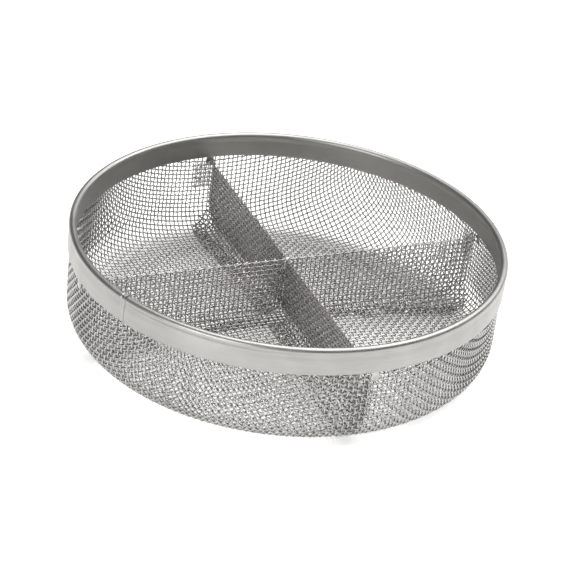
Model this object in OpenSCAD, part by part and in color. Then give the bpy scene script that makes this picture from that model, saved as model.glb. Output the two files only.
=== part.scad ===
// Round four-compartment wire-cloth basket with a folded sheet-steel rim.
// Units are millimetres. +Z is up and the basket stands on Z = 0, centred on the origin.
// The cross divider runs along X and the long divider along Y.

/* [Overall] */
// Outside diameter of the rim
outer_d = 100; // [90:1:130]
// Height from the resting ring under the floor to the top of the rim
overall_h = 25.4; // [22:0.2:34]

/* [Rim] */
// Thickness of the folded strip
strip_t = 0.4; // [0.3:0.05:0.5]
// Outside diameter of the round bead along the top of the rim
bead_d = 1.8; // [1.6:0.1:2.2]
// Height of the outer leg's lower edge below the top of the rim
outer_leg = 6.3; // [5.6:0.1:8]
// Height of the inner leg's lower edge below the top of the rim
inner_leg = 6.0; // [5.2:0.1:7.6]
// Direction of the butt joint where the strip's two ends meet, in degrees from +X
seam_angle = 202; // [185:1:260]
// Width of that butt joint along the outside of the rim
seam_w = 0.8; // [0.4:0.1:1.6]

/* [Wire cloth] */
// Thickness of the cloth, two wires deep
cloth_t = 0.7; // [0.5:0.05:0.9]
// Outside radius of the bend between wall and floor
corner_r = 6.5; // [4:0.5:9]
// How far the drawn floor rises at its centre
floor_rise = 3.0; // [1:0.5:4]

/* [Dividers] */
// Distance of the dividers' top edge below the top of the rim
divider_drop = 7; // [6.3:0.1:9]
// Width of the flange folded onto the floor
flange_w = 4.5; // [3:0.5:6]
// Width of the tab bent onto the wall at each end
tab_w = 4.7; // [3:0.1:6]
// Height of each end tab
tab_h = 7.0; // [4:0.5:9]

/* [Welds] */
// Diameter of each spot weld
spot_d = 1.4; // [1:0.1:2.4]
// Spot welds along each half of a floor flange
spots_per_half = 5; // [3:1:6]
// Width of the tack weld at each divider end, outside under the rim
tack_w = 2.3; // [1.6:0.1:3]
// Height of that tack weld
tack_h = 2.7; // [1.8:0.1:3.4]

/* [Hidden] */
big_fn = 160;
small_fn = 32;
steel = [0.78, 0.78, 0.77];
cloth = [0.70, 0.70, 0.69];
weld = [0.60, 0.60, 0.59];

rim_r = outer_d / 2;
band_r = rim_r - 0.05;               // outer face of the outer leg
wall_r = band_r - strip_t;           // outer face of the cloth wall
wall_in = wall_r - cloth_t;          // inner face of the cloth wall
leg_in = wall_in - strip_t;          // inner face of the inner leg
bead_c = rim_r - bead_d / 2;         // radius of the bead's centre circle
neck = 0.25;                         // how far the legs are pinched in under the bead
leg_top = overall_h - 3.0;           // the legs are straight below this height
bead_z = overall_h - bead_d / 2;
cloth_top = leg_top - 0.2;           // the cloth's edge inside the rim
corner_c = wall_r - corner_r;        // radius of the corner bend's centre circle
dome_r = corner_c - 3.0;             // the floor is flat between this radius and the corner
dome_s = (dome_r * dome_r + floor_rise * floor_rise) / (2 * floor_rise);
div_top = overall_h - divider_drop;
lap_z = (div_top + floor_rise + cloth_t) / 2;   // middle of the half-lap at the hub
half_t = cloth_t / 2;
reach = rim_r + 5;
seam_a = seam_w / rim_r * 180 / PI;
spot_t = 0.15;                       // how far a spot weld stands above the cloth
flange_end = corner_c - 1.5;         // radius where the floor flanges stop
spot_step = (flange_end - 6) / spots_per_half;
hub_r = 0.8;                         // radius of the weld at the crossing
hub_deep = 2.5;                      // how far down the crossing it reaches

module revolve(from = 0, sweep = 360) {
  rotate([0, 0, from]) rotate_extrude(angle = sweep, $fn = big_fn) children();
}

// One ring-shaped layer between two radii and two heights.
module ring(r0, r1, z0, z1) {
  revolve() translate([r0, z0]) square([r1 - r0, z1 - z0]);
}

// Section of the folded strip: a round bead on top and two legs that grip the cloth.
module rim_section() {
  difference() {
    union() {
      translate([bead_c, bead_z]) circle(d = bead_d, $fn = small_fn);
      polygon([[wall_r, overall_h - outer_leg], [band_r, overall_h - outer_leg], [band_r, leg_top],
               [band_r - neck, overall_h - bead_d * 0.95], [bead_c, bead_z],
               [wall_r - neck, overall_h - bead_d * 0.95], [wall_r, leg_top]]);
      polygon([[leg_in, overall_h - inner_leg], [wall_in, overall_h - inner_leg], [wall_in, leg_top],
               [wall_in + neck / 2, overall_h - bead_d * 0.95], [bead_c, bead_z],
               [leg_in + neck / 2, overall_h - bead_d * 0.95], [leg_in, leg_top]]);
    }
    translate([bead_c, bead_z]) circle(d = bead_d - 2 * strip_t, $fn = small_fn);
  }
}

// Region under the floor's surface, raised by lift, used to cut floor-following layers.
module dome_section(lift) {
  intersection() {
    translate([0, floor_rise - dome_s + lift]) circle(r = dome_s, $fn = 720);
    square([dome_r, floor_rise + lift + 1]);
  }
  if (lift > 0) square([corner_c, lift]);
}

// Section of the drawn bowl: straight wall, bent corner, flat ring and shallow dome.
module bowl_section() {
  translate([wall_in, corner_r]) square([cloth_t, cloth_top - corner_r]);
  intersection() {
    translate([corner_c, corner_r]) difference() {
      circle(r = corner_r, $fn = big_fn);
      circle(r = corner_r - cloth_t, $fn = big_fn);
    }
    translate([corner_c, 0]) square([corner_r, corner_r]);
  }
  difference() {
    dome_section(cloth_t);
    dome_section(0);
  }
}

// Section of the space inside the bowl, up to the dividers' top edge.
module inside_section() {
  difference() {
    union() {
      square([corner_c, div_top]);
      translate([0, corner_r]) square([wall_in, div_top - corner_r]);
      intersection() {
        translate([corner_c, corner_r]) circle(r = corner_r - cloth_t, $fn = big_fn);
        translate([corner_c, 0]) square([corner_r, corner_r]);
      }
    }
    dome_section(cloth_t);
  }
}

// A layer lying on the floor between two lifts above its underside.
module floor_layer(lift0, lift1) {
  revolve() difference() {
    intersection() {
      dome_section(lift1);
      square([flange_end, overall_h]);
    }
    dome_section(lift0);
  }
}

// One divider along +-Y before its slot is cut; side = -1 or +1 picks the tabs' side.
module divider(tab_side) {
  intersection() {
    translate([-half_t, -reach, 0]) cube([cloth_t, 2 * reach, overall_h]);
    revolve() inside_section();
  }
  for (end = [-1, 1]) intersection() {
    ring(wall_in - cloth_t, wall_in, div_top - tab_h, div_top);
    translate([tab_side > 0 ? 0 : -half_t - tab_w, end > 0 ? 0 : -reach, 0])
      cube([half_t + tab_w, reach, overall_h]);
  }
}

module rim_channel() {
  color(steel) revolve(seam_angle + seam_a / 2, 360 - seam_a) rim_section();
}

// The weld closes the strip's butt joint and partly fills the groove under the bead.
module rim_seam_weld() {
  color(weld) revolve(seam_angle - seam_a / 2, seam_a) union() {
    rim_section();
    polygon([[wall_r, leg_top], [band_r, leg_top], [rim_r - 0.06, bead_z - bead_d * 0.25],
             [bead_c + bead_d * 0.3, bead_z - bead_d * 0.25], [wall_r - neck, overall_h - bead_d * 0.95]]);
  }
}

module mesh_bowl() {
  color(cloth) revolve() bowl_section();
}

module long_divider() {
  color(cloth) difference() {
    union() {
      divider(-1);
      for (side = [0, 1]) intersection() {
        floor_layer(cloth_t, 2 * cloth_t);
        translate([-half_t - flange_w, side == 0 ? half_t : -reach, 0])
          cube([flange_w + cloth_t, reach - half_t - (side == 0 ? 0 : flange_w), overall_h]);
      }
    }
    translate([-reach, -half_t, 0]) cube([2 * reach, cloth_t, lap_z]);
  }
}

module cross_divider() {
  color(cloth) difference() {
    union() {
      rotate([0, 0, -90]) divider(-1);
      for (side = [0, 1]) intersection() {
        floor_layer(cloth_t, 2 * cloth_t);
        translate([side == 0 ? half_t : -reach, -half_t - flange_w, 0])
          cube([reach - half_t, flange_w + cloth_t, overall_h]);
      }
    }
    translate([-half_t, -reach, lap_z]) cube([cloth_t, 2 * reach, overall_h]);
  }
}

// The crossing is welded down its four upright corners from the top.
module hub_weld() {
  color(weld) {
    difference() {
      translate([0, 0, div_top - hub_deep]) cylinder(r = hub_r, h = hub_deep, $fn = small_fn);
      translate([-half_t, -reach, 0]) cube([cloth_t, 2 * reach, overall_h]);
      translate([-reach, -half_t, 0]) cube([2 * reach, cloth_t, overall_h]);
    }
    translate([0, 0, div_top]) cylinder(r1 = hub_r, r2 = hub_r * 0.6, h = 0.3, $fn = small_fn);
  }
}

module tab_spot_welds() {
  at = asin((half_t + tab_w / 2) / wall_in);
  color(weld) for (turn = [90 + at, 270 - at, at, 180 - at], z = [1.9, tab_h - 1.9])
    intersection() {
      ring(wall_in - cloth_t - spot_t, wall_in - cloth_t, div_top - tab_h, div_top);
      rotate([0, 0, turn]) translate([wall_in - 3, 0, div_top - z])
        rotate([0, 90, 0]) cylinder(d = spot_d, h = 4, $fn = small_fn);
    }
}

module flange_spot_welds() {
  mid = half_t + flange_w / 2;
  color(weld) intersection() {
    floor_layer(2 * cloth_t, 2 * cloth_t + spot_t);
    for (i = [1 : spots_per_half]) {
      s = 2.5 + i * spot_step;
      for (p = [[-mid, s], [-mid, -s], [s, -mid], [-s, -mid]])
        translate([p[0], p[1], 0]) cylinder(d = spot_d, h = overall_h, $fn = small_fn);
    }
  }
}

module rim_tack_welds() {
  color(weld) for (turn = [0 : 90 : 270]) intersection() {
    ring(wall_r, band_r - 0.05, overall_h - outer_leg - tack_h, overall_h - outer_leg);
    rotate([0, 0, turn]) translate([rim_r - 3, 0, overall_h - outer_leg - tack_h + tack_w / 2]) {
      rotate([0, 90, 0]) cylinder(d = tack_w, h = 4, $fn = small_fn);
      translate([0, -tack_w / 2, 0]) cube([4, tack_w, tack_h]);
    }
  }
}

rim_channel();
rim_seam_weld();
mesh_bowl();
long_divider();
cross_divider();
hub_weld();
tab_spot_welds();
flange_spot_welds();
rim_tack_welds();
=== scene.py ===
import math

import bpy
import numpy as np
from mathutils import Matrix, Vector


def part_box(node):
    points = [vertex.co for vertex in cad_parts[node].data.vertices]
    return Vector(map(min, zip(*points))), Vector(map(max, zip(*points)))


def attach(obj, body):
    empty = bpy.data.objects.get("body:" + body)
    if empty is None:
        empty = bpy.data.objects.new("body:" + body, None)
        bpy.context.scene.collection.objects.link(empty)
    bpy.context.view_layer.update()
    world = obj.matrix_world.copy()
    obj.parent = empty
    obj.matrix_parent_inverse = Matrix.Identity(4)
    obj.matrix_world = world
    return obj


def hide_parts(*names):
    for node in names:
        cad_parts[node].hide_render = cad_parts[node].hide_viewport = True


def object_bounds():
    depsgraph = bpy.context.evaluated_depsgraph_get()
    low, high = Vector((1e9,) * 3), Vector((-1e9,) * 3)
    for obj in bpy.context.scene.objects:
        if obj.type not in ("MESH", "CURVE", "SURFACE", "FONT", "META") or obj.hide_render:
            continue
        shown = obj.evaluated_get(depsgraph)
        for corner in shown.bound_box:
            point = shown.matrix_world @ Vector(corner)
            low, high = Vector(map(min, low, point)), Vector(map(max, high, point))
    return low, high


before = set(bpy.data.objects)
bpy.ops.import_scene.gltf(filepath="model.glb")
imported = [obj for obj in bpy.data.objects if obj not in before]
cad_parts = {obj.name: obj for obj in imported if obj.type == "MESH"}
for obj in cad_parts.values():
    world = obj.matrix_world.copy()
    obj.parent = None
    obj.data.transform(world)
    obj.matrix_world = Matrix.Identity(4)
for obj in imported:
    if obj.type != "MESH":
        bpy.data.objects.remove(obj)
cad_box = [list(c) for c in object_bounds()]
MM = 0.001

# ---------------------------------------------------------------- sizes, in millimetres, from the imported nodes
RIM_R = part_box("rim_channel")[1].x / MM
RIM_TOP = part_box("rim_channel")[1].z / MM
BAND_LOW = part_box("rim_channel")[0].z / MM
WALL_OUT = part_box("mesh_bowl")[1].x / MM
CLOTH_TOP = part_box("mesh_bowl")[1].z / MM
DIV_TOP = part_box("long_divider")[1].z / MM
TACK_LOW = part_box("rim_tack_welds")[0].z / MM
CLOTH_T = 0.7                   # woven cloth: two wires thick
WIRE_R = CLOTH_T / 4
WIRE_SIDES = 6
WIRE_STEP = 1 / 3               # path points along a wire, in pitches
PITCH = 1.15
NET_HALF = 62                   # wires of the drawn net on each side of the middle
NET_OVER = 4.0                  # how far above the cloth's edge the net is carried
BOWL_PIECES = 3                 # pieces per direction of the weave
CORNER_R = 6.5                  # bowl's corner bend, outside
RISE = 3.0                      # of the domed floor at its middle
STRIP_T = 0.4                   # rim strip
WALL_MID = WALL_OUT - CLOTH_T / 2
WALL_IN = WALL_OUT - CLOTH_T
CORNER_C = WALL_OUT - CORNER_R
CORNER_MID = CORNER_R - CLOTH_T / 2
DOME_R = CORNER_C - 3.0
DOME_S = (DOME_R ** 2 + RISE ** 2) / (2 * RISE)
FLANGE_END = CORNER_C - 1.5     # the spots on the flanges stop here
FLANGE_W = 4.5
TAB_W = 4.7
TAB_H = 7.0
BEND = 0.8                      # radius between a divider and its tab
FOLD = 2.6                      # radius between a divider and its flange
SLOT_PLAY = 0.03                # of the half-lap, each side
LAP_Z = (DIV_TOP + RISE + CLOTH_T) / 2
HALF_T = CLOTH_T / 2
FLOOR_ARC = CORNER_R - 1.5 * CLOTH_T
SEAM_ANGLE = 202.0
SEAM_HALF = 0.4
RIM_STEPS = 540
BEAD_R = 0.9
INNER_LEG = 6.0                 # depth of the rim's inner leg
GROOVE_DOWN = 3.0               # from the rim's top to where its legs draw in
XYZ = ((1, 0, 0), (0, 1, 0), (0, 0, 1))


# ---------------------------------------------------------------- small mesh helpers
def unit(v):
    """Vectors scaled to length one."""
    return v / np.maximum(np.linalg.norm(v, axis=-1, keepdims=True), 1e-12)


def mesh_object(name, verts, faces, material, smooth=True, flat_sides=0):
    """Makes one closed mesh piece from vertices in millimetres and lists of faces of equal length."""
    mesh = bpy.data.meshes.new(name)
    loops = np.concatenate([f.reshape(-1) for f in faces]).astype(np.int32)
    totals = np.concatenate([np.full(len(f), f.shape[1], np.int32) for f in faces])
    starts = np.concatenate([[0], np.cumsum(totals)[:-1]]).astype(np.int32)
    mesh.vertices.add(len(verts))
    mesh.vertices.foreach_set("co", (np.asarray(verts) * MM).astype(np.float32).reshape(-1))
    mesh.loops.add(len(loops))
    mesh.loops.foreach_set("vertex_index", loops)
    mesh.polygons.add(len(totals))
    mesh.polygons.foreach_set("loop_start", starts)
    mesh.polygons.foreach_set("loop_total", totals)
    shade = np.full(len(totals), smooth)
    if flat_sides:
        shade[totals == flat_sides] = False
    mesh.polygons.foreach_set("use_smooth", shade)
    mesh.update(calc_edges=True)
    mesh.validate()
    obj = bpy.data.objects.new(name, mesh)
    bpy.context.scene.collection.objects.link(obj)
    mesh.materials.append(material)
    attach(obj, "root")
    return obj


def tube(path, normals):
    """One closed wire along a path: ring vertices, side quads and two end caps."""
    along = unit(np.gradient(path, axis=0))
    up = unit(normals - (normals * along).sum(-1, keepdims=True) * along)
    side = np.cross(along, up)
    sides = WIRE_SIDES
    turn = (np.arange(sides) + 0.5) * 2 * math.pi / sides
    ring = np.cos(turn)[None, :, None] * up[:, None, :] + np.sin(turn)[None, :, None] * side[:, None, :]
    verts = (path[:, None, :] + WIRE_R * ring).reshape(-1, 3)
    n = len(path)
    k = np.arange(sides)
    base = (np.arange(n - 1) * sides)[:, None]
    quads = np.stack([base + k, base + sides + k, base + sides + (k + 1) % sides,
                      base + (k + 1) % sides], -1).reshape(-1, 4)
    caps = np.stack([k, (n - 1) * sides + k[::-1]])
    return verts, quads, caps


def wires_object(name, wires, material):
    """Joins many wires, each a pair of path and normals, into one piece."""
    verts, quads, caps, count = [], [], [], 0
    for path, normals in wires:
        v, q, c = tube(path, normals)
        verts.append(v)
        quads.append(q + count)
        caps.append(c + count)
        count += len(v)
    return mesh_object(name, np.concatenate(verts), [np.concatenate(quads), np.concatenate(caps)],
                       material, flat_sides=WIRE_SIDES)


def run_end(inside, beyond, last):
    """Where a wire ends, between a parameter beyond the cloth's edge and the last one within it."""
    for _ in range(7):
        mid = (beyond + last) / 2
        if inside(np.array([mid]))[0]:
            last = mid
        else:
            beyond = mid
    return last


def valid_runs(inside, u0, u1, step, shortest=1.2):
    """Parameter ranges of a wire where it exists, with their ends found by bisection."""
    u = np.arange(u0, u1 + step / 2, step)
    good = inside(u)
    runs, i = [], 0
    while i < len(u):
        if not good[i]:
            i += 1
            continue
        j = i
        while j + 1 < len(u) and good[j + 1]:
            j += 1
        a = run_end(inside, u[max(i - 1, 0)], u[i])
        b = run_end(inside, u[min(j + 1, len(u) - 1)], u[j])
        if b - a > shortest:
            runs.append((a, b))
        i = j + 1
    return runs


def samples(a, b):
    """Regular sample parameters between a and b, on the cloth's own grid, with both ends."""
    step, gap = WIRE_STEP, 0.3      # gap keeps the first and last inner samples off the ends
    inner = np.arange(math.ceil(a / step + gap), math.floor(b / step - gap) + 1) * step
    return np.concatenate([[a], inner, [b]])


# ---------------------------------------------------------------- the drawn bowl
def under(r):
    """Height of the floor's underside at a radius."""
    r = np.minimum(r, DOME_R)
    return np.sqrt(DOME_S ** 2 - r ** 2) - (DOME_S - RISE)


def bowl_field(p):
    """Signed distance-like field of the cloth's middle surface and its outward gradient."""
    r = np.hypot(p[..., 0], p[..., 1]) + 1e-12
    z = p[..., 2]
    wall = (z >= CORNER_R) & (r > CORNER_C)
    corner = ~wall & (r > CORNER_C)
    d = np.hypot(r - CORNER_C, z - CORNER_R) + 1e-12
    rr = np.minimum(r, DOME_R)
    slope = np.where(r < DOME_R, -rr / np.sqrt(DOME_S ** 2 - rr ** 2), 0.0)
    field = np.where(wall, r - WALL_MID, np.where(corner, d - CORNER_MID, under(r) + HALF_T - z))
    gr = np.where(wall, 1.0, np.where(corner, (r - CORNER_C) / d, slope))
    gz = np.where(wall, 0.0, np.where(corner, (z - CORNER_R) / d, -1.0))
    return field, np.stack([gr * p[..., 0] / r, gr * p[..., 1] / r, gz], -1)


def first_wire(axis, count):
    """Wire crossings along one meridian of the bowl, a pitch apart."""
    points = [np.array([0.0, 0.0, HALF_T + RISE])]
    step = np.zeros(3)
    step[axis] = PITCH
    off = np.array([1.0, 0, 0]) if axis == 1 else np.array([0, 1.0, 0])
    for _ in range(count):
        p = points[-1] + step
        for _ in range(12):
            f, g = bowl_field(p[None])
            q = p - points[-1]
            miss = np.array([q @ q - PITCH ** 2, f[0], off @ p])
            p = p - np.linalg.solve(np.array([2 * q, g[0], off]), miss)
        step = p - points[-1]
        points.append(p)
    return np.array(points)


def cloth_net(count):
    """Crossings of a square-woven cloth drawn over the bowl: every cell keeps its four side lengths."""
    net = np.full((count + 1, count + 1, 3), np.nan)
    net[:, 0], net[0, :] = first_wire(0, count), first_wire(1, count)
    for s in range(2, 2 * count + 1):
        i = np.arange(max(1, s - count), min(count, s - 1) + 1)
        a, b = net[i, s - i - 1], net[i - 1, s - i]
        x = a + b - net[i - 1, s - i - 1]
        ok = np.isfinite(x[:, 0])
        for _ in range(20):
            f, g = bowl_field(x)
            m = np.stack([2 * (x - a), 2 * (x - b), g], 1)
            rhs = -np.stack([((x - a) ** 2).sum(-1) - PITCH ** 2,
                             ((x - b) ** 2).sum(-1) - PITCH ** 2, f], -1)
            ok &= np.isfinite(m).all((1, 2))
            m[~ok], rhs[~ok] = np.eye(3), 0
            bad = np.abs(np.linalg.det(m)) < 1e-4
            ok &= ~bad
            m[bad], rhs[bad] = np.eye(3), 0
            dx = np.linalg.solve(m, rhs[..., None])[..., 0]
            x = x + dx * np.minimum(1, 0.5 / np.maximum(np.linalg.norm(dx, axis=-1, keepdims=True), 1e-9))
        miss = np.abs(np.linalg.norm(x - a, axis=-1) - PITCH) + np.abs(bowl_field(x)[0])
        x[(miss > 1e-3) | ~ok | (x[:, 2] > CLOTH_TOP + NET_OVER)] = np.nan
        net[i, s - i] = x
    return net


def full_net(quarter):
    """The four mirrored quarters of the net as one grid, indexed from -count to +count on both axes."""
    n = len(quarter) - 1
    full = np.empty((2 * n + 1, 2 * n + 1, 3))
    for sx in (1, -1):
        for sy in (1, -1):
            part = quarter * np.array([sx, sy, 1.0])
            rows = slice(n, None) if sx > 0 else slice(n, None, -1)
            cols = slice(n, None) if sy > 0 else slice(n, None, -1)
            full[rows, cols] = part
    return full


def smooth_row(row, u):
    """Catmull-Rom interpolation along one wire's crossings."""
    k = np.clip(np.floor(u).astype(int), 0, len(row) - 2)
    t = (u - k)[:, None]
    p0, p1, p2, p3 = (row[np.clip(k + d, 0, len(row) - 1)] for d in (-1, 0, 1, 2))
    p0 = np.where(np.isfinite(p0), p0, 2 * p1 - p2)
    p3 = np.where(np.isfinite(p3), p3, 2 * p2 - p1)
    return 0.5 * (2 * p1 + (p2 - p0) * t + (2 * p0 - 5 * p1 + 4 * p2 - p3) * t ** 2
                  + (3 * p1 - p0 - 3 * p2 + p3) * t ** 3)


def bowl_wire(row, line, sign, n):
    """One wire of the bowl along a row of crossings, waving over and under the others."""
    ok = np.isfinite(row[:, 0]) & (row[:, 2] < CLOTH_TOP)
    if not ok[n]:
        return None
    lo = hi = n
    while ok[lo - 1]:
        lo -= 1
    while ok[hi + 1]:
        hi += 1
    ends = []
    for inner, outer in ((lo, lo - 1), (hi, hi + 1)):
        za, zb = row[inner, 2], row[outer, 2]
        part = (CLOTH_TOP - za) / (zb - za) if np.isfinite(zb) and zb > za else 0.0
        ends.append(inner + part * (outer - inner))
    u = samples(ends[0], ends[1])
    if len(u) < 6:
        return None
    p = smooth_row(row, u)
    normal = unit(bowl_field(p)[1])
    wave = sign * np.cos(math.pi * (u - n + line))
    return p + normal * (WIRE_R * wave)[:, None], normal


def build_bowl(material):
    """All wires of the bowl, in a few pieces for each direction of the weave."""
    n = NET_HALF
    net = full_net(cloth_net(n))
    for name, grid, sign in (("bowl_warp", net, 1), ("bowl_weft", net.transpose(1, 0, 2), -1)):
        wires = []
        for j in range(-n, n + 1):
            wire = bowl_wire(grid[:, n + j], j, sign, n)
            if wire is not None:
                wires.append(wire)
        total = sum(len(w[0]) for w in wires)
        group, size, part = [], 0, 1
        for w in wires:
            group.append(w)
            size += len(w[0])
            if size >= total * part / BOWL_PIECES - 1:
                obj = wires_object(f"{name}_{part}", group, material)
                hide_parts("mesh_bowl")
                group, part = [], part + 1


# ---------------------------------------------------------------- the dividers
class Divider:
    """One divider: l runs along it, w to the side of its tabs or flange, t down from its top edge."""

    def __init__(self, along, across, tab, flange, straight_top, slot_from_top):
        self.along, self.across = np.array(along, float), np.array(across, float)
        self.tab, self.flange = tab, flange
        self.top_gap = 0.36 if straight_top else 0.68
        self.slot_from_top = slot_from_top
        self.ring_r = WALL_IN - HALF_T
        self.turn_l = math.sqrt((self.ring_r - BEND) ** 2 - BEND ** 2)
        self.turn_a = math.pi / 2 + math.atan2(BEND, self.turn_l)

    def fold(self, s, t):
        """How far the cloth at (s, t) lies past the start of its fold, and its angle round the bowl's corner."""
        a, z = np.abs(s), DIV_TOP - t
        corner = (a > CORNER_C) & (z < CORNER_R)
        dist = np.where(corner, FLOOR_ARC - np.hypot(a - CORNER_C, z - CORNER_R),
                        z - under(a) - 1.5 * CLOTH_T)
        phi = np.where(corner, np.arctan2(a - CORNER_C, np.maximum(CORNER_R - z, 1e-9)), 0.0)
        past = np.where((a > CORNER_C) & ~corner, -1.0, FOLD - dist)
        return past, phi

    def plan(self, s):
        """Position and sideways normal of the sheet seen from above, s measured along the cloth."""
        a, sg = np.abs(s), np.sign(s)
        turn = np.clip((a - self.turn_l) / BEND, 0, self.turn_a)
        rest = np.maximum(a - self.turn_l - BEND * self.turn_a, 0) / self.ring_r
        wall = math.atan2(BEND, self.turn_l) + rest
        l = np.where(rest > 0, self.ring_r * np.cos(wall),
                     np.minimum(a, self.turn_l) + BEND * np.sin(turn))
        w = np.where(rest > 0, self.ring_r * np.sin(wall), BEND * (1 - np.cos(turn)))
        nl = np.where(rest > 0, -np.cos(wall), -np.sin(turn))
        nw = np.where(rest > 0, -np.sin(wall), np.cos(turn))
        return l * sg, w, nl * sg, nw

    def point(self, s, t):
        """Middle surface and its normal at cloth coordinates."""
        s, t = np.broadcast_arrays(np.asarray(s, float), np.asarray(t, float))
        l, w, nl, nw = self.plan(s)
        tabbed = t <= TAB_H
        l, w = np.where(tabbed, l, s), np.where(tabbed, w * self.tab, 0.0)
        nl, nw = np.where(tabbed, nl * self.tab, 0.0), np.where(tabbed, nw, 1.0)
        up = np.zeros_like(t)
        past, phi = self.fold(s, t)
        folded = past > 0
        bend = np.clip(past / FOLD, 0, math.pi / 2)
        wf = FOLD * (1 - np.cos(bend)) + np.maximum(past - FOLD * math.pi / 2, 0)
        height = FOLD * (1 - np.sin(bend))
        round_r = CORNER_C + (FLOOR_ARC - height) * np.sin(phi)
        lf = np.where(phi > 0, np.sqrt(np.maximum(round_r ** 2 - wf ** 2, 0)), np.abs(s)) * np.sign(s)
        zf = np.where(phi > 0, CORNER_R - (FLOOR_ARC - height) * np.cos(phi),
                      under(np.hypot(lf, wf)) + 1.5 * CLOTH_T + height)
        l, w = np.where(folded, lf, l), np.where(folded, wf * self.flange, w)
        z = np.where(folded, zf, DIV_TOP - t)
        rise = np.sin(bend) * self.flange
        nl = np.where(folded, -rise * np.sin(phi) * np.sign(s), nl)
        nw, up = np.where(folded, np.cos(bend), nw), np.where(folded, rise * np.cos(phi), up)
        p = l[..., None] * self.along + w[..., None] * self.across + z[..., None] * np.array([0, 0, 1.0])
        n = nl[..., None] * self.along + nw[..., None] * self.across + up[..., None] * np.array([0, 0, 1.0])
        return p, unit(n)

    def inside(self, s, t):
        """Where the cut blank has cloth."""
        s, t = np.broadcast_arrays(np.asarray(s, float), np.asarray(t, float))
        p, _ = self.point(s, t)
        w, z = p @ self.across, p[..., 2]
        a = np.abs(s)
        past, phi = self.fold(s, t)
        good = t >= 0
        good &= np.where(t <= TAB_H, np.abs(w) < TAB_W + HALF_T, a < WALL_IN - WIRE_R)
        widest = (FLANGE_W + HALF_T) * np.clip((1.4 - phi) / 0.8, 0.1, 1)
        good &= (past <= 0) | (np.abs(w) < widest)
        slot = a < HALF_T + SLOT_PLAY
        if self.slot_from_top:
            good &= ~(slot & (z > LAP_Z))
        else:
            good &= ~(slot & (z < LAP_Z))
            # cut away over the other sheet's flange
            low = under(a) + 2.7 * CLOTH_T
            over_flange = (s > -FLANGE_W - HALF_T - 0.1) & (s < HALF_T + 0.1)
            good &= ~(((past > FOLD * 0.6) | (z < low)) & over_flange)
        return good

    def wires(self):
        """All wires: rows along the divider, then uprights, each cut to the blank."""
        made = []
        reach = self.turn_l + BEND * self.turn_a + 6
        for k in range(0, 26):
            t = self.top_gap + k * PITCH
            for a, b in valid_runs(lambda u, t=t: self.inside(u * PITCH, t), -reach / PITCH, reach / PITCH,
                                   0.25):
                u = samples(a, b)
                p, n = self.point(u * PITCH, t)
                # rows cross the uprights, which stand half a pitch either side of the middle
                wave = np.cos(math.pi * (u - 0.5 + k))
                made.append((p + n * (WIRE_R * wave)[:, None], n))
        count = int(reach / PITCH) + 1
        for m in range(-count, count):
            s = (m + 0.5) * PITCH
            for a, b in valid_runs(lambda u, s=s: self.inside(s, u * PITCH + self.top_gap),
                                   -self.top_gap / PITCH, 27, 0.25, 0.6):
                u = samples(a, b)
                p, n = self.point(s, u * PITCH + self.top_gap)
                wave = -np.cos(math.pi * (u + m))
                if self.top_gap > 0.5:      # cut ends standing free above the first row lean a little
                    wave += -1.6 * (-1) ** m * np.maximum(-u / (self.top_gap / PITCH), 0) ** 1.5
                made.append((p + n * (WIRE_R * wave)[:, None], n))
        return made


def build_dividers(material):
    """The two sheets, each one piece of cloth."""
    sheets = {
        "long_divider": Divider((0, 1, 0), (1, 0, 0), -1, -1, False, False),
        "cross_divider": Divider((1, 0, 0), (0, 1, 0), 1, -1, True, True),
    }
    for node, sheet in sheets.items():
        obj = wires_object(node + "_cloth", sheet.wires(), material)
        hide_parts(node)


# ---------------------------------------------------------------- the rim
def arc(cx, cz, r, a0, a1, n):
    """Points on an arc of the section, angles in degrees."""
    a = np.radians(np.linspace(a0, a1, n))
    return [(cx + r * math.cos(x), cz + r * math.sin(x)) for x in a]


def rim_profile(pinch):
    """Closed section of the folded strip; pinch is how far the legs draw in under the bead."""
    band, wall = RIM_R - 0.05, WALL_OUT
    leg = WALL_IN - STRIP_T
    inner_low = RIM_TOP - INNER_LEG
    leg_top = RIM_TOP - GROOVE_DOWN
    pts = arc(band - 0.1, BAND_LOW + 0.1, 0.1, -90, 0, 4)
    pts += [(band, BAND_LOW + 1.2), (band, leg_top - 0.6), (band - pinch * 0.12, leg_top)]
    pts += [(band - pinch * 0.55, leg_top + 0.55), (band - pinch, leg_top + 1.05)]
    pts += [(band - pinch * 0.96, leg_top + 1.22)]
    pts += arc(RIM_R - BEAD_R, RIM_TOP - BEAD_R, BEAD_R, -32, 212, 19)
    pts += [(leg + 0.12 * pinch + 0.07, leg_top + 1.15), (leg + 0.3 * pinch, leg_top + 0.6)]
    pts += [(leg, leg_top - 0.3)]
    pts += [(leg, inner_low + 1.0)]
    pts += arc(leg + 0.1, inner_low + 0.1, 0.1, 180, 270, 4)
    pts += arc(WALL_IN - 0.08, inner_low + 0.08, 0.08, -90, 0, 3)
    pts += [(WALL_IN, leg_top), (WALL_IN + 0.05, leg_top + 0.9), (wall - 0.3, leg_top + 0.9)]
    pts += [(wall - 0.02, leg_top - 0.1)]
    pts += arc(wall + 0.08, BAND_LOW + 0.08, 0.08, 180, 270, 3)
    return np.array(pts)


def pinch_at(a):
    """The groove under the bead is deeper in some places than in others."""
    return max(0.2 + 0.09 * math.sin(2 * a + 0.6) + 0.05 * math.sin(5 * a + 1.0), 0.05)


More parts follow.
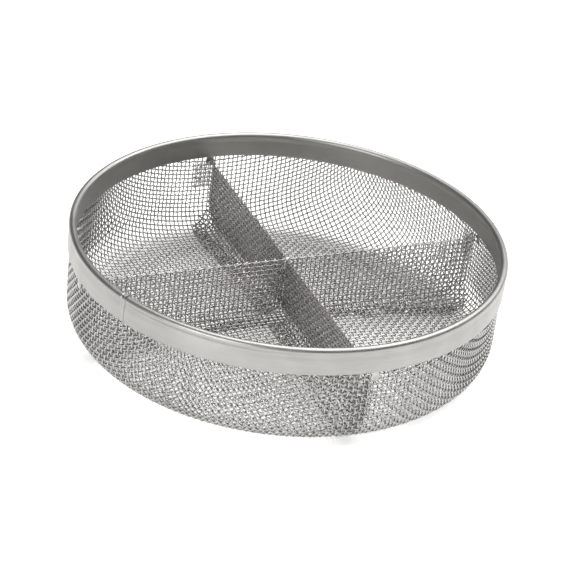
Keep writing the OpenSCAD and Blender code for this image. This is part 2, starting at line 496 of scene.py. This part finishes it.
def sweep_rim(name, angles, pinch, swell, material):
    """Sweeps the strip's section through the given angles and closes both ends."""
    verts = []
    for a in angles:
        pts = rim_profile(pinch(a))
        low = np.clip((RIM_TOP - 2.0 - pts[:, 1]) / 4, 0, 1)
        outer = pts[:, 0] > WALL_OUT - 0.05
        sway = 0.009 * math.sin(3 * a + 0.4) + 0.006 * math.sin(7 * a)
        r = pts[:, 0] + np.where(outer, sway, 0.0) * low + np.where(outer, swell(a), 0.0)
        z = pts[:, 1] + 0.05 * math.sin(4 * a + 2.0) * low
        verts.append(np.stack([r * math.cos(a), r * math.sin(a), z], -1))
    m, count = len(verts[0]), len(angles)
    k = np.arange(m)
    base = (np.arange(count - 1) * m)[:, None]
    quads = np.stack([base + m + k, base + m + (k + 1) % m, base + (k + 1) % m, base + k], -1).reshape(-1, 4)
    caps = np.stack([k, (count - 1) * m + k[::-1]])
    return mesh_object(name, np.concatenate(verts), [quads, caps], material, flat_sides=m)


def build_rim(material, seam_material):
    """The strip from one side of its butt joint round to the other, and the dressed weld that joins them."""
    half, start = SEAM_HALF / RIM_R, math.radians(SEAM_ANGLE)
    strip = sweep_rim("rim_strip", np.linspace(start + half, start + 2 * math.pi - half, RIM_STEPS), pinch_at,
                      lambda a: 0.0, material)
    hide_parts("rim_channel")

    def crown(a):
        return math.cos((a - start) / half * math.pi / 2)

    weld = sweep_rim("rim_seam_bead", np.linspace(start - half, start + half, 9),
                     lambda a: pinch_at(a) * (1 - 0.2 * crown(a)), lambda a: 0.005 * crown(a),
                     seam_material)
    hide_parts("rim_seam_weld")


# ---------------------------------------------------------------- the welds
def blob(centre, axes, half, seed, rings=7, around_n=20):
    """A closed, slightly uneven lens; axes are its two flat directions and its short one."""
    u, v, w = (np.array(a, float) for a in axes)
    verts = [np.array(centre) + w * half[2]]
    for i in range(1, rings):
        polar = math.pi * i / rings
        for k in range(around_n):
            a = 2 * math.pi * k / around_n
            uneven = 1 + 0.08 * math.sin(3 * a + seed) + 0.06 * math.sin(5 * a + 2.3 * seed)
            flat = math.sin(polar) ** 0.6 * uneven
            thick = math.cos(polar) * (1 + 0.1 * math.sin(2 * a + seed))
            verts.append(np.array(centre) + u * (half[0] * flat * math.cos(a))
                         + v * (half[1] * flat * math.sin(a)) + w * (half[2] * thick))
    verts.append(np.array(centre) - w * half[2])
    k = np.arange(around_n)
    nxt = (k + 1) % around_n
    rows = np.arange(rings - 2)[:, None] * around_n + 1
    quads = np.stack([rows + k, rows + around_n + k, rows + around_n + nxt, rows + nxt], -1).reshape(-1, 4)
    last = len(verts) - 1
    base = 1 + (rings - 2) * around_n
    tops = np.stack([np.zeros_like(k), 1 + k, 1 + nxt], -1)
    ends = np.stack([np.full_like(k, last), base + nxt, base + k], -1)
    return np.array(verts), quads, np.concatenate([tops, ends])


def blobs_object(name, items, node, material):
    """Joins many blobs into one piece that replaces a CAD node."""
    verts, quads, tris, count = [], [], [], 0
    for item in items:
        v, q, t = blob(*item)
        verts.append(v)
        quads.append(q + count)
        tris.append(t + count)
        count += len(v)
    obj = mesh_object(name, np.concatenate(verts), [np.concatenate(quads), np.concatenate(tris)],
                      material)
    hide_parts(node)


def build_tab_spots(material):
    """Nuggets between each tab and the wall, two to a tab."""
    items, r, inset = [], WALL_IN, 1.9
    offset = math.asin((HALF_T + TAB_W / 2) / r)
    turns = [math.pi / 2 + offset, 1.5 * math.pi - offset, offset, math.pi - offset]
    for i, a in enumerate(turns):
        out, along = (math.cos(a), math.sin(a), 0), (-math.sin(a), math.cos(a), 0)
        for j, down in enumerate((inset, TAB_H - inset)):
            centre = (r * out[0], r * out[1], DIV_TOP - down)
            items.append((centre, (along, (0, 0, 1), out), (0.5, 0.5, 0.3), i + 2.0 * j))
    blobs_object("tab_spot_nuggets", items, "tab_spot_welds", material)


def build_flange_spots(material):
    """Flattened spots along the flat of the floor flanges, five to each arm."""
    items, mid, count = [], HALF_T + FLANGE_W / 2 + 0.9, 5
    step = (FLANGE_END - 6) / count
    for i in range(1, count + 1):
        s = 2.5 + i * step
        for j, (x, y) in enumerate(((-mid, s), (-mid, -s), (s, -mid), (-s, -mid))):
            r = math.hypot(x, y)
            z = float(under(np.array(r))) + 1.5 * CLOTH_T - 0.05
            items.append(((x, y, z), XYZ, (0.75, 0.75, 0.28), i * 1.7 + j))
    blobs_object("flange_spot_nuggets", items, "flange_spot_welds", material)


def build_hub_weld(material):
    """Uneven run of metal down the crossing of the two dividers."""
    items = [((0.0, 0.0, DIV_TOP - 0.25), XYZ, (0.62, 0.7, 0.5), 1.0)]
    for i, (sx, sy) in enumerate(((1, 1), (-1, 1), (-1, -1), (1, -1))):
        for k in range(3):
            centre = (0.42 * sx, 0.42 * sy, DIV_TOP - 0.8 - 0.75 * k)
            items.append((centre, XYZ, (0.34, 0.34, 0.5), i + 1.3 * k))
    blobs_object("hub_weld_beads", items, "hub_weld", material)


def build_tacks(material):
    """Smeared tack under the rim, outside, at each divider end."""
    items, r, low, high = [], WALL_OUT - 0.02, TACK_LOW, BAND_LOW
    for i in range(4):
        a = i * math.pi / 2
        out, along = (math.cos(a), math.sin(a), 0), (-math.sin(a), math.cos(a), 0)
        centre = (r * out[0], r * out[1], (low + high) / 2 + 0.25)
        half = (1.0, (high - low) / 2 + 0.15, 0.22)
        items.append((centre, (along, (0, 0, 1), out), half, i + 0.5))
    blobs_object("rim_tack_smears", items, "rim_tack_welds", material)


# ---------------------------------------------------------------- materials
def new_material(name):
    """A node material, its tree and its shader."""
    mat = bpy.data.materials.new(name)
    mat.use_nodes = True
    tree = mat.node_tree
    return mat, tree, tree.nodes["Principled BSDF"]


def node(tree, kind, **values):
    """A new shader node with some of its settings."""
    made = tree.nodes.new(kind)
    for key, value in values.items():
        setattr(made, key, value)
    return made


def noise(tree, vector, scale, detail=3.0, rough=0.5):
    """Noise over object coordinates in metres."""
    made = node(tree, "ShaderNodeTexNoise")
    made.inputs["Scale"].default_value = scale
    made.inputs["Detail"].default_value = detail
    made.inputs["Roughness"].default_value = rough
    tree.links.new(vector, made.inputs["Vector"])
    return made.outputs["Fac"]


def ramp(tree, value, stops):
    """Colours by value, from pairs of position and colour."""
    made = node(tree, "ShaderNodeValToRGB")
    points = made.color_ramp.elements
    for point, (at, colour) in zip((points[0], points[1]), (stops[0], stops[-1])):
        point.position, point.color = at, (*colour, 1)
    for at, colour in stops[1:-1]:
        points.new(at).color = (*colour, 1)
    tree.links.new(value, made.inputs["Fac"])
    return made.outputs["Color"]


def scaled(tree, value, low, high):
    """The middle half of a noise value stretched from low to high."""
    made = node(tree, "ShaderNodeMapRange")
    made.inputs["From Min"].default_value, made.inputs["From Max"].default_value = 0.25, 0.75
    made.inputs["To Min"].default_value, made.inputs["To Max"].default_value = low, high
    tree.links.new(value, made.inputs["Value"])
    return made.outputs["Result"]


def multiplied(tree, a, b):
    """Two colours multiplied."""
    made = node(tree, "ShaderNodeMix", data_type="RGBA", blend_type="MULTIPLY")
    made.inputs["Factor"].default_value = 1.0
    tree.links.new(a, made.inputs["A"])
    tree.links.new(b, made.inputs["B"])
    return made.outputs["Result"]


def bump(tree, shader, height, strength, distance):
    """Fine relief on a shader's normal; distance in metres."""
    made = node(tree, "ShaderNodeBump")
    made.inputs["Strength"].default_value = strength
    made.inputs["Distance"].default_value = distance
    tree.links.new(height, made.inputs["Height"])
    tree.links.new(made.outputs["Normal"], shader.inputs["Normal"])


def near_wall(tree, place):
    """One beside the bowl's wall, nothing further in."""
    flat = node(tree, "ShaderNodeVectorMath", operation="MULTIPLY")
    flat.inputs[1].default_value = (1, 1, 0)
    tree.links.new(place, flat.inputs[0])
    length = node(tree, "ShaderNodeVectorMath", operation="LENGTH")
    tree.links.new(flat.outputs[0], length.inputs[0])
    made = node(tree, "ShaderNodeMapRange")
    made.inputs["From Min"].default_value = (WALL_IN - 1.6) * MM
    made.inputs["From Max"].default_value = (WALL_IN - 0.9) * MM
    tree.links.new(length.outputs["Value"], made.inputs["Value"])
    return made.outputs["Result"]


def wire_material(name, tone, rough, tab_sheen_tone=None):
    """Drawn wire; a last tone, when given, is a painted highlight on the tabs pressed against the wall: lighter
    metal standing in for the light they reflect.
    """
    mat, tree, shader = new_material(name)
    place = node(tree, "ShaderNodeTexCoord").outputs["Object"]
    light = tuple(c * 1.05 for c in tone)
    dark = tuple(c * 0.85 for c in tone)
    wide = ramp(tree, noise(tree, place, 90, 4), [(0.3, dark), (0.5, tone), (0.75, light)])
    fine = ramp(tree, noise(tree, place, 420, 2), [(0.3, (0.93, 0.92, 0.91)), (0.65, (1, 1, 1))])
    # painted highlight: the cloth beside the wall (the tabs) is made lighter to stand in for light it reflects
    if tab_sheen_tone:
        dull = tuple(c * 0.85 for c in tab_sheen_tone)
        tab_sheen = ramp(tree, noise(tree, place, 500, 3), [(0.3, dull), (0.7, tab_sheen_tone)])
        both = node(tree, "ShaderNodeMix", data_type="RGBA")
        tree.links.new(near_wall(tree, place), both.inputs["Factor"])
        tree.links.new(wide, both.inputs["A"])
        tree.links.new(tab_sheen, both.inputs["B"])
        wide = both.outputs["Result"]
    tree.links.new(multiplied(tree, wide, fine), shader.inputs["Base Color"])
    worn = scaled(tree, noise(tree, place, 300, 3), rough - 0.03, rough + 0.05)
    tree.links.new(worn, shader.inputs["Roughness"])
    shader.inputs["Metallic"].default_value = 1.0
    bump(tree, shader, noise(tree, place, 5200, 2), 0.12, 0.00002)
    return mat


def around(tree):
    """Coordinates that run round the rim, so that brushed lines follow it."""
    place = node(tree, "ShaderNodeTexCoord").outputs["Object"]
    split = node(tree, "ShaderNodeSeparateXYZ")
    tree.links.new(place, split.inputs[0])
    angle = node(tree, "ShaderNodeMath", operation="ARCTAN2")
    tree.links.new(split.outputs["Y"], angle.inputs[0])
    tree.links.new(split.outputs["X"], angle.inputs[1])
    flat = node(tree, "ShaderNodeCombineXYZ")
    tree.links.new(split.outputs["X"], flat.inputs["X"])
    tree.links.new(split.outputs["Y"], flat.inputs["Y"])
    length = node(tree, "ShaderNodeVectorMath", operation="LENGTH")
    tree.links.new(flat.outputs[0], length.inputs[0])
    bent = node(tree, "ShaderNodeCombineXYZ")
    turn = node(tree, "ShaderNodeMath", operation="MULTIPLY")
    turn.inputs[1].default_value = 0.0012
    tree.links.new(angle.outputs[0], turn.inputs[0])
    tree.links.new(turn.outputs[0], bent.inputs["X"])
    tree.links.new(length.outputs["Value"], bent.inputs["Y"])
    tree.links.new(split.outputs["Z"], bent.inputs["Z"])
    return place, bent.outputs[0]


def rim_material():
    """Brushed strip with faint stains."""
    mat, tree, shader = new_material("brushed_steel")
    place, bent = around(tree)
    brushed = noise(tree, bent, 9000, 4, 0.6)
    lines = ramp(tree, brushed, [(0.3, (0.88, 0.88, 0.87)), (0.7, (1, 1, 1))])
    stain = ramp(tree, noise(tree, place, 60, 5),
                 [(0.3, (0.37, 0.365, 0.35)), (0.6, (0.41, 0.405, 0.39)), (0.8, (0.43, 0.425, 0.41))])
    tree.links.new(multiplied(tree, stain, lines), shader.inputs["Base Color"])
    tree.links.new(scaled(tree, noise(tree, place, 220, 4), 0.37, 0.48), shader.inputs["Roughness"])
    shader.inputs["Metallic"].default_value = 1.0
    bump(tree, shader, brushed, 0.35, 0.00002)
    return mat


def seam_material():
    """The dressed butt weld: the rim's steel, a little duller."""
    mat, tree, shader = new_material("seam_metal")
    place = node(tree, "ShaderNodeTexCoord").outputs["Object"]
    tone = ramp(tree, noise(tree, place, 800, 3), [(0.3, (0.37, 0.365, 0.355)), (0.7, (0.42, 0.415, 0.405))])
    tree.links.new(tone, shader.inputs["Base Color"])
    tree.links.new(scaled(tree, noise(tree, place, 900, 3), 0.38, 0.46), shader.inputs["Roughness"])
    shader.inputs["Metallic"].default_value = 1.0
    return mat


def weld_material():
    """Uneven weld metal with a slight tint."""
    mat, tree, shader = new_material("weld_metal")
    place = node(tree, "ShaderNodeTexCoord").outputs["Object"]
    tone = ramp(tree, noise(tree, place, 900, 4),
                [(0.3, (0.44, 0.435, 0.425)), (0.55, (0.55, 0.545, 0.535)), (0.8, (0.64, 0.635, 0.625))])
    tint = ramp(tree, noise(tree, place, 260, 2), [(0.35, (0.86, 0.83, 0.78)), (0.6, (1, 1, 1))])
    tree.links.new(multiplied(tree, tone, tint), shader.inputs["Base Color"])
    tree.links.new(scaled(tree, noise(tree, place, 1400, 3), 0.42, 0.6), shader.inputs["Roughness"])
    shader.inputs["Metallic"].default_value = 0.95
    bump(tree, shader, noise(tree, place, 1800, 3), 0.6, 0.0001)
    return mat


def floor_material():
    """Pale floor that glows softly, so that it stays white under the basket."""
    mat, tree, shader = new_material("pale_floor")
    place = node(tree, "ShaderNodeTexCoord").outputs["Object"]
    tone = ramp(tree, noise(tree, place, 3, 2), [(0.3, (0.93, 0.93, 0.93)), (0.7, (0.95, 0.95, 0.95))])
    tree.links.new(tone, shader.inputs["Base Color"])
    shader.inputs["Roughness"].default_value = 0.9
    shader.inputs["Emission Color"].default_value = (1, 1, 1, 1)
    shader.inputs["Emission Strength"].default_value = 0.42
    return mat


# ---------------------------------------------------------------- stage, lights and camera
def build_floor():
    """A plain square under the basket."""
    mesh = bpy.data.meshes.new("floor")
    s = 4.0
    mesh.from_pydata([(-s, -s, 0), (s, -s, 0), (s, s, 0), (-s, s, 0)], [], [(0, 1, 2, 3)])
    obj = bpy.data.objects.new("floor", mesh)
    obj.location.z = cad_box[0][2] - 0.0002
    bpy.context.scene.collection.objects.link(obj)
    mesh.materials.append(floor_material())


def area_light(name, place, size, power):
    """A square soft light that faces the basket."""
    data = bpy.data.lights.new(name, "AREA")
    data.shape, data.size, data.energy = "SQUARE", size, power
    obj = bpy.data.objects.new(name, data)
    obj.location = place
    obj.rotation_mode = "QUATERNION"
    obj.rotation_quaternion = (-Vector(place)).to_track_quat("-Z", "Y")
    bpy.context.scene.collection.objects.link(obj)


def build_lights():
    """Soft studio light: an even dim surround and three area lights."""
    world = bpy.data.worlds.new("studio")
    world.use_nodes = True
    background = world.node_tree.nodes["Background"]
    background.inputs["Color"].default_value = (1, 1, 1, 1)
    background.inputs["Strength"].default_value = 0.16
    bpy.context.scene.world = world
    area_light("top_light", (0.3, 0.15, 0.9), 1.1, 14)
    area_light("left_light", (-0.9, -0.55, 0.4), 0.6, 5.5)
    area_light("right_light", (0.8, 0.3, 0.5), 0.5, 1.5)
    bpy.context.scene.view_settings.view_transform = "Standard"


def build_camera():
    """A long lens from the front left, tipped a little about its own axis."""
    data = bpy.data.cameras.new("camera")
    sensor, lens = 36, 135.98
    data.sensor_width, data.lens = sensor, lens
    data.clip_start, data.clip_end = 0.01, 20
    elevation, roll, turn = math.radians(30.38), math.radians(7.05), math.radians(-26)
    radius, focal = RIM_R * MM, lens / sensor
    forward = Vector((0, math.cos(elevation), -math.sin(elevation)))
    right0, up0 = Vector((1, 0, 0)), Vector((0, math.sin(elevation), math.cos(elevation)))
    right = math.cos(roll) * right0 + math.sin(roll) * up0
    up = math.cos(roll) * up0 - math.sin(roll) * right0
    aside, above = -0.0066649, 0.0146163      # picture centre from the basket's centre, in picture widths
    distance = 10 * radius
    eye = Vector((0, 0, RIM_TOP * MM / 2)) - forward * distance
    eye -= (right * aside + up * above) * (distance / focal)
    spin = Matrix.Rotation(turn, 3, "Z")
    axes = Matrix((spin @ right, spin @ up, -(spin @ forward))).transposed()
    camera = bpy.data.objects.new("camera", data)
    camera.matrix_world = Matrix.Translation(spin @ eye) @ axes.to_4x4()
    bpy.context.scene.collection.objects.link(camera)
    bpy.context.scene.camera = camera


def main():
    build_camera()
    build_floor()
    build_lights()
    bowl_mat = wire_material("bowl_wire", (0.49, 0.485, 0.475), 0.25)
    # the last tone paints a highlight on the tabs beside the wall
    divider_mat = wire_material("divider_wire", (0.42, 0.41, 0.4), 0.26, (0.78, 0.775, 0.765))
    weld_mat = weld_material()
    build_rim(rim_material(), seam_material())
    build_bowl(bowl_mat)
    build_dividers(divider_mat)
    nugget_mat = wire_material("nugget_metal", (0.68, 0.675, 0.665), 0.34)
    build_tab_spots(nugget_mat)
    build_flange_spots(nugget_mat)
    build_hub_weld(weld_mat)
    build_tacks(weld_mat)


main()
